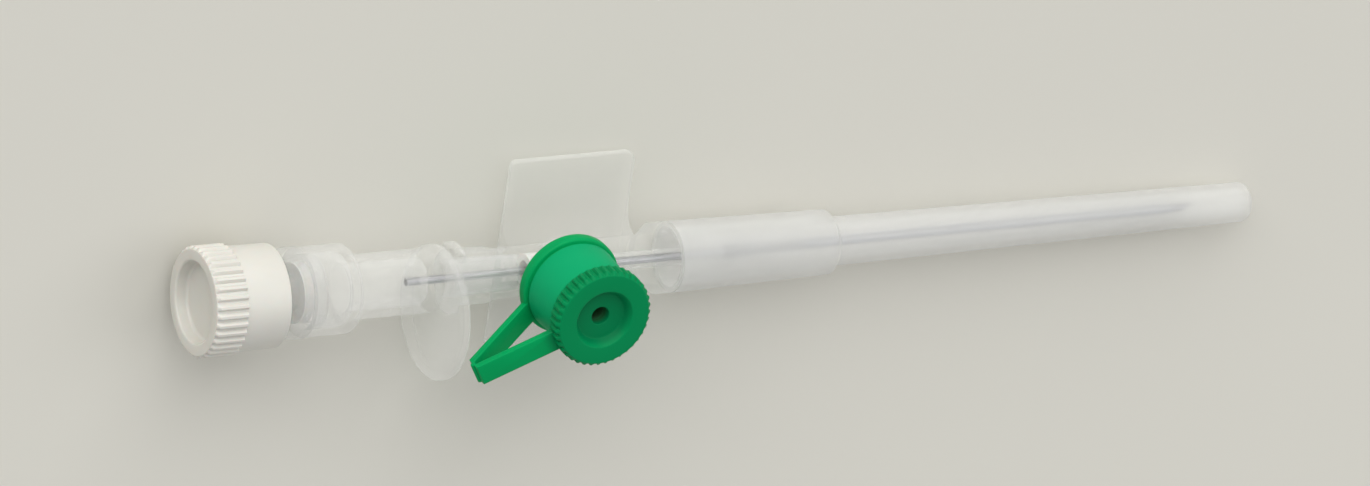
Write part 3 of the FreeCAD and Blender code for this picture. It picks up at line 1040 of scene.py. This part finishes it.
@dataclass
class PortCap:
    """Green cap: collar that turns on the port, strap folded in a V, and knurled lid."""

    collar_bore: float = 3.665
    snap_rise: float = 0.2
    ring_radius: float = 5.615
    ring_low: float = 2.95
    ring_high: float = 4.35
    sleeve_radius: float = 5.215
    sleeve_top_radius: float = 4.915
    sleeve_top: float = 10.2
    groove: float = 0.3
    lid_low: float = 10.3
    lid_high: float = 12.3
    lid_radius: float = 5.6
    tooth_depth: float = 0.28
    teeth: int = 40
    lower_chamfer: float = 0.22
    upper_chamfer: float = 0.42
    recess_radius: float = 3.3
    recess_floor_radius: float = 2.7
    recess_depth: float = 1.0
    hole_radius: float = 1.0
    hole_draft: float = 0.05
    hole_depth: float = 2.6
    spigot_radius: float = 1.75
    spigot_tip_radius: float = 1.6
    spigot_length: float = 2.6
    strap_width: float = 2.5
    strap_thickness: float = 0.8
    strap_reach: float = 14.1
    strap_turn_deg: float = 210.0
    fold_height: float = 8.35
    fold_gap: float = 0.12
    lid_arm_foot: Point = (5.115, 11.0)
    strap_rim: float = 0.18
    web_radius: float = 0.3

    def arm(self, foot: Point, side: float) -> Mesh:
        """Strap arm from its foot to the fold.

        Args:
            foot: radius and height where the arm's outer face starts.
            side: 1 for the arm below the fold and -1 for the one above it.

        Returns:
            The arm along +X, turned later.
        """
        end = self.fold_height - side * self.fold_gap
        run = self.strap_reach - foot[0]
        lift = side * self.strap_thickness / math.cos(math.atan2(end - foot[1], run))
        half = self.strap_width / 2
        reach = self.strap_reach
        section = [Vector((radius, -half, height)) for radius, height in (
            foot, (reach, end - lift), (reach, end), (foot[0], foot[1] + lift))]
        bm = extruded(section, Vector((0.0, self.strap_width, 0.0)))
        rims = [edge for edge in bm.edges
                if abs(edge.verts[0].co.x - edge.verts[1].co.x) > run / 2]
        rims += [edge for edge in bm.edges if all(
            vert.co.x > reach - NEAR and abs(vert.co.z - end) > NEAR for vert in edge.verts)]
        bevel(bm, rims, self.strap_rim)
        return bm

    def web(self) -> Mesh:
        """Thin moulded hinge in the fold, round about the hinge's line.

        Returns:
            The web along +X, turned later.
        """
        half, radius = self.strap_width / 2, self.web_radius
        bm = turned([
            (-half, 0.0), (-half, radius, 0.12), (half, radius, 0.12), (half, 0.0),
        ], Axis.CANNULA, steps=24)
        fold = Matrix.Translation((self.strap_reach, 0.0, self.fold_height))
        bm.transform(fold @ Matrix.Rotation(math.pi / 2, 4, "Z"))
        return bm

    def turned_to_side(self, bm: Mesh) -> Mesh:
        """Swings a solid from +X to the side where the strap lies.

        Args:
            bm: the solid.

        Returns:
            The same solid.
        """
        bm.transform(Matrix.Rotation(math.radians(self.strap_turn_deg), 4, "Z"))
        return bm

    def collar(self) -> Mesh:
        """Ring and sleeve with the lower arm.

        Returns:
            The closed mesh.
        """
        shell = turned([
            (self.ring_low, self.collar_bore, 0.1), (self.ring_low, self.ring_radius, 0.3),
            (self.ring_high, self.ring_radius, 0.3),
            (self.ring_high, self.sleeve_radius - self.groove, 0.1),
            (self.ring_high + self.groove, self.sleeve_radius, 0.15),
            (self.sleeve_top, self.sleeve_top_radius, 0.12),
            (self.sleeve_top, self.collar_bore, 0.1),
        ], Axis.PORT, closed=True, steps=128)
        arm = self.arm((self.collar_bore + self.snap_rise, self.ring_low), 1.0)
        return self.turned_to_side(combined(shell, [(Join.ADD, arm), (Join.ADD, self.web())]))

    def lid(self) -> Mesh:
        """Knurled lid with its recess, hole and spigot, and the upper arm.

        Returns:
            The closed mesh.
        """
        high, low = self.lid_high, self.lid_low
        floor = high - self.recess_depth
        hole_floor = floor - self.hole_depth
        tip = low - self.spigot_length
        rim_low, rim_high = low + self.lower_chamfer, high - self.upper_chamfer
        radius = self.lid_radius
        rows = [(rim_low + (rim_high - rim_low) * step / 4, radius) for step in (3, 2, 1)]
        disc = turned([
            (hole_floor, 0.0), (hole_floor, self.hole_radius - self.hole_draft, 0.2),
            (floor, self.hole_radius, 0.12), (floor, self.recess_floor_radius, 0.25),
            (high, self.recess_radius, 0.2), (high, radius - self.upper_chamfer, 0.2),
            (rim_high, radius), *rows, (rim_low, radius), (low, radius - self.lower_chamfer),
            (low, self.spigot_radius, 0.15), (tip, self.spigot_tip_radius, 0.25), (tip, 0.0),
        ], Axis.PORT, steps=self.teeth * TOOTH_STEPS)
        cut_teeth(disc, Axis.PORT, self.teeth, self.tooth_depth, (rim_low, rim_high), radius)
        arm = self.arm(self.lid_arm_foot, -1.0)
        return self.turned_to_side(combined(disc, [(Join.ADD, arm)]))

    def build(self, material: bpy.types.Material) -> None:
        """Builds the collar and the lid.

        Args:
            material: their finish.
        """
        collar = Dress(material, "green_plastic", "port_collar")
        collar.put_on(self.collar(), "cap_collar", "port_cap_collar")
        lid = Dress(material, "green_plastic", "port_lid")
        lid.put_on(self.lid(), "cap_lid", "port_cap_lid")


@dataclass
class NeedleHub:
    """Clear needle hub: male cone, thumb plate, grip and the front of the flash chamber."""

    plate_gap: float = 0.75
    plate_radius: float = 7.3
    plate_thickness: float = 1.3
    plate_y: float = -3.24
    plate_z: float = 1.33
    plate_lip: float = 0.8
    plate_dish: float = 0.3
    dish_slope: float = 0.3
    plate_overlap: float = 0.2
    grip_radius: float = 3.5
    grip_length: float = 9.85
    grip_wall: float = 0.9
    grip_web: float = 1.2
    chamber_radius: float = 4.85
    chamber_wall: float = 0.8
    needle_radius: float = 0.45

    def plate_span(self) -> Point:
        """Back and front of the thumb plate along the cannula."""
        front = DRAWING.span("catheter_hub")[0] - self.plate_gap
        return front - self.plate_thickness, front

    def body(self) -> Mesh:
        """Outside along the axis.

        Returns:
            The closed mesh.
        """
        rear, tip = DRAWING.span("needle_hub")
        back = self.plate_span()[0]
        chamber, grip_end = back - self.grip_length, back + self.plate_overlap
        return turned([
            (rear, 0.0), (rear, self.chamber_radius, 0.1), (chamber, self.chamber_radius, 0.9),
            (chamber, self.grip_radius, 0.35), (grip_end, self.grip_radius),
            (grip_end, LUER.radius(-self.plate_gap) - LUER.clearance),
            (tip, LUER.radius(LUER.depth) - LUER.clearance, 0.15), (tip, 0.0),
        ], Axis.CANNULA)

    def plate(self) -> Mesh:
        """Thumb plate with its rounded lip and dished front.

        Returns:
            The closed mesh.
        """
        back, front = self.plate_span()
        dish, dish_radius = front - self.plate_dish, self.plate_radius - self.plate_lip
        bm = turned([
            (back, 0.0), (back, self.plate_radius, 0.4), (front, self.plate_radius, 0.4),
            (front, dish_radius, 0.25), (dish, dish_radius - self.dish_slope, 0.3), (dish, 0.0),
        ], Axis.CANNULA, steps=120)
        bm.transform(Matrix.Translation((0.0, self.plate_y, self.plate_z)))
        return bm

    def hollow(self) -> Mesh:
        """Chamber, grip and needle bore.

        Returns:
            The closed mesh that is cut away.
        """
        rear, tip = DRAWING.span("needle_hub")
        back = self.plate_span()[0]
        chamber = back - self.grip_length - self.chamber_wall
        room = self.chamber_radius - self.chamber_wall
        bore = self.grip_radius - self.grip_wall
        web = back - self.grip_web
        return turned([
            (rear - PAST, 0.0), (rear - PAST, room), (chamber, room, 0.6), (chamber, bore, 0.2),
            (web, bore, 0.3), (web, self.needle_radius), (tip + PAST, self.needle_radius),
            (tip + PAST, 0.0),
        ], Axis.CANNULA)

    def build(self, dress: Dress) -> None:
        """Builds the needle hub."""
        hub = combined(self.body(), [(Join.ADD, self.plate()), (Join.CUT, self.hollow())])
        dress.put_on(hub, "needle_hub_moulding", "needle_hub")


@dataclass
class ChamberCap:
    """Clear rear half of the flash chamber with its band, luer neck and lugs."""

    radius: float = 4.85
    bore: float = 4.05
    skirt_wall: float = 0.75
    skirt_length: float = 1.8
    band_length: float = 1.3
    band_rise: float = 0.1
    body_length: float = 1.95
    web: float = 0.9
    lug_bite: float = 0.3

    def build(self, dress: Dress) -> None:
        """Builds the chamber's cap.

        Args:
            dress: its finish and body.
        """
        mouth, skirt_end = DRAWING.span("flash_chamber_cap")
        band_front = skirt_end - self.skirt_length
        band_rear = band_front - self.band_length
        body_rear = band_rear - self.body_length
        seat = mouth + LUER.depth + self.web
        cavity = self.bore - self.skirt_wall
        band_radius = self.radius + self.band_rise
        shell = turned([
            (mouth, LUER.radius(0.0), 0.1), (mouth, LUER.barrel, 0.15),
            (body_rear, LUER.barrel, 0.25), (body_rear, self.radius, 0.5),
            (band_rear, self.radius), (band_rear, band_radius, 0.08),
            (band_front, band_radius, 0.08), (band_front, self.bore), (skirt_end, self.bore, 0.15),
            (skirt_end, cavity, 0.15), (seat, cavity, 0.15), (seat, LUER.radius(LUER.depth)),
        ], Axis.CANNULA, closed=True)
        lugs = combined(LUER.lugs(mouth), [(Join.CUT, self.socket(mouth))])
        cap = combined(shell, [(Join.ADD, lugs)])
        dress.put_on(cap, "chamber_cap_moulding", "flash_chamber_cap")

    def socket(self, mouth: float) -> Mesh:
        """Room inside the lugs, so that they stay out of the socket.

        Args:
            mouth: the socket's mouth along the cannula.

        Returns:
            The closed mesh that is cut away.
        """
        low, high, radius = mouth - PAST, mouth + LUER.depth, LUER.barrel - self.lug_bite
        section = [(low, 0.0), (low, radius), (high, radius), (high, 0.0)]
        return turned(section, Axis.CANNULA, steps=72)


@dataclass
class LuerPlug:
    """White locking plug with knurled rim, recessed end, collar and male cone."""

    collar_radius: float = 5.635
    collar_draft: float = 0.04
    collar_bore: float = 4.135
    rim_width: float = 1.3
    rim_draft: float = 0.1
    rim_height: float = 1.5
    web: float = 1.0
    length: float = 8.9
    knurl_length: float = 3.7
    knurl_end_slope: float = 0.06
    rear_chamfer: float = 0.34
    tooth_depth: float = 0.35
    teeth: int = 36
    cone_length: float = 7.2
    cone_foot: float = 0.1

    def build(self, dress: Dress) -> None:
        """Builds the plug.

        Args:
            dress: its finish and body.
        """
        rear = DRAWING.span("luer_plug")[0]
        front = rear + self.length
        tip_radius = self.collar_radius + self.tooth_depth
        floor = rear + self.rim_height
        web_front = floor + self.web
        knurl_end = rear + self.knurl_length
        rim_low, rim_high = rear + self.rear_chamfer, knurl_end - self.knurl_end_slope
        rows = [(rim_low + (rim_high - rim_low) * step / 5, tip_radius) for step in range(1, 5)]
        inside = self.collar_radius - self.rim_width
        cone = LUER.radius(-self.cone_foot) - LUER.clearance
        cone_tip = web_front + self.cone_length
        blank = turned([
            (floor, 0.0), (floor, inside, 0.4), (rear, inside + self.rim_draft, 0.25),
            (rear, tip_radius - self.rear_chamfer, 0.15), (rim_low, tip_radius), *rows,
            (rim_high, tip_radius), (knurl_end, self.collar_radius),
            (front, self.collar_radius - self.collar_draft, 0.2), (front, self.collar_bore, 0.1),
            (web_front, self.collar_bore, 0.4), (web_front, cone, 0.2),
            (cone_tip, cone - LUER.slope * self.cone_length, 0.2), (cone_tip, 0.0),
        ], Axis.CANNULA, steps=self.teeth * TOOTH_STEPS)
        rim = (rim_low, rim_high)
        cut_teeth(blank, Axis.CANNULA, self.teeth, self.tooth_depth, rim, tip_radius)
        dress.put_on(blank, "plug_moulding", "luer_plug")


@dataclass
class FineParts:
    """Needle, catheter tube, ferrule, valve and filter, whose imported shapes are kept."""

    def dress_node(self, node: str, material: bpy.types.Material) -> None:
        """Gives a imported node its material.

        Args:
            node: the node's name.
            material: its material.
        """
        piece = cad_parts[node]
        piece.data.materials.clear()
        piece.data.materials.append(material)
        log.info("%s: packed shape kept", node)

    def build(self) -> None:
        """Dresses every fine part."""
        steel = DrawnSteel().material()
        self.dress_node("needle", steel)
        self.dress_node("catheter_ferrule", steel)
        self.dress_node("catheter_tube", StripedPolymer().material())
        silicone = MouldedPlastic("silicone", (224, 223, 218), roughness=0.45, subsurface=0.4)
        self.dress_node("port_valve", silicone.material())
        self.dress_node("flash_filter", PorousDisc().material())


# Studio


@dataclass(frozen=True)
class Lamp:
    """Broad soft light from far away, with its power on a square metre that faces it."""

    name: str
    direction: tuple[float, float, float]
    spread_deg: float
    strength: float

    def shine(self) -> None:
        """Adds the lamp to the scene."""
        light = bpy.data.lights.new(self.name, "SUN")
        light.angle = math.radians(self.spread_deg)
        light.energy = self.strength
        lamp = bpy.data.objects.new(self.name, light)
        bpy.context.scene.collection.objects.link(lamp)
        towards = Vector(self.direction)
        lamp.location = DRAWING.spot(0, 0, 0) + towards.normalized()
        lamp.rotation_mode = "QUATERNION"
        lamp.rotation_quaternion = (-towards).to_track_quat("-Z", "Y")


@dataclass
class Studio:
    """Pale floor, soft lights and the camera."""

    lamps: tuple[Lamp, ...] = (
        Lamp("key", (-0.3, 1.0, 0.32), 76.0, 2.95), Lamp("fill", (0.8, 0.4, 1.0), 44.0, 0.45),
    )
    ambient: float = 0.62
    plate_place: float = -14.3
    floor_colour: Colour = (216, 214, 205)
    floor_variation: float = 0.015
    floor_patch_mm: float = 60.0
    floor_roughness: float = 0.9
    floor_gloss: float = 0.1
    floor_size: float = 6.0
    sensor_mm: float = 36.0
    field_mm: float = 146.0
    distance: float = 2.4
    ahead_of_port: float = 15.7
    above_axis: float = 1.3
    right: tuple[float, float, float] = (0.887, 0.137, 0.441)
    up: tuple[float, float, float] = (0.085, 0.890, -0.448)

    def floor(self) -> None:
        """Plane under the thumb plate and the cover's tip, which goes with a pulled cover."""
        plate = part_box("needle_hub")[0]
        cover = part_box("needle_cover")[1]
        tip_radius = NeedleCover.tip_radius * MM
        rear = Vector((DRAWING.spot(self.plate_place, 0, 0).x, 0.0, plate.z))
        front = Vector((cover.x - tip_radius, 0.0, DRAWING.spot(0, 0, 0).z - tip_radius))
        tilt = math.atan2(front.z - rear.z, front.x - rear.x)
        bm = bmesh.new()
        bmesh.ops.create_grid(bm, x_segments=1, y_segments=1, size=self.floor_size)
        bm.transform(Matrix.Translation(rear) @ Matrix.Rotation(-tilt, 4, "Y"))
        floor = as_object(bm, "floor")
        shader = Shader("floor")
        soft = shader.noise(self.floor_patch_mm)
        colour = shader.shaded(
            soft, self.floor_colour, 1 - self.floor_variation, 1 + self.floor_variation)
        shader.set(base_color=colour, roughness=self.floor_roughness,
                   specular_ior_level=self.floor_gloss)
        floor.data.materials.append(shader.material)
        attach(floor, "cover")

    def world(self) -> None:
        """Even pale surroundings, which glossy and clear surfaces see at full white."""
        world = bpy.data.worlds.new("surroundings")
        bpy.context.scene.world = world
        world.use_nodes = True
        nodes = Nodes(world.node_tree)
        seen: Operand = 0.0
        for kind in ("Is Camera Ray", "Is Glossy Ray", "Is Transmission Ray"):
            seen = nodes.node("ShaderNodeLightPath", output=kind) + seen
        shown = nodes.node("ShaderNodeMath", {"operation": "MINIMUM"}, {0: seen, 1: 1.0})
        strength = self.ambient + (1.0 - self.ambient) * shown
        light = nodes.node("ShaderNodeBackground", {}, {"Strength": strength})
        nodes.node("ShaderNodeOutputWorld", {}, {"Surface": light})

    def camera(self) -> None:
        """Camera at the photograph's angle and framing."""
        right, up = Vector(self.right).normalized(), Vector(self.up).normalized()
        back = right.cross(up).normalized()
        up = back.cross(right)
        data = bpy.data.cameras.new("camera")
        data.sensor_width = self.sensor_mm
        data.lens = self.sensor_mm * self.distance / (self.field_mm * MM)
        camera = bpy.data.objects.new("camera", data)
        bpy.context.scene.collection.objects.link(camera)
        target = DRAWING.spot(self.ahead_of_port, 0.0, 0.0) + up * (self.above_axis * MM)
        turn = Matrix((right, up, back)).transposed()
        camera.matrix_world = Matrix.Translation(target + back * self.distance) @ turn.to_4x4()
        bpy.context.scene.camera = camera

    def build(self) -> None:
        """Builds the studio."""
        self.floor()
        for lamp in self.lamps:
            lamp.shine()
        self.world()
        self.camera()
        bpy.context.scene.view_settings.view_transform = "Standard"


def main() -> None:
    """Builds the studio and every sub-assembly in order."""
    logging.basicConfig(level=logging.INFO, format="%(name)s %(message)s")
    Studio().build()
    clear = ClearPlastic("clear_plastic", (250, 250, 247)).material()
    milky = ClearPlastic("milky_plastic", (240, 240, 238), roughness=0.45, transmission=0.4,
                         face_cover=0.34, edge_cover=0.66).material()
    green = CapPlastic("green_plastic", (0, 150, 84), gloss=0.06).material()
    white = MouldedPlastic("white_plastic", (210, 208, 200), variation=0.03, roughness=0.34,
                           subsurface=0.12).material()
    CatheterHub().build(Dress(clear, "clear_plastic", "catheter"))
    PortCap().build(green)
    NeedleHub().build(Dress(clear, "clear_plastic", "needle_unit"))
    ChamberCap().build(Dress(clear, "clear_plastic", "needle_unit"))
    LuerPlug().build(Dress(white, "white_plastic", "plug", 40.0))
    NeedleCover().build(Dress(milky, "milky_plastic", "cover"))
    FineParts().build()


if __name__ == "__main__":
    main()
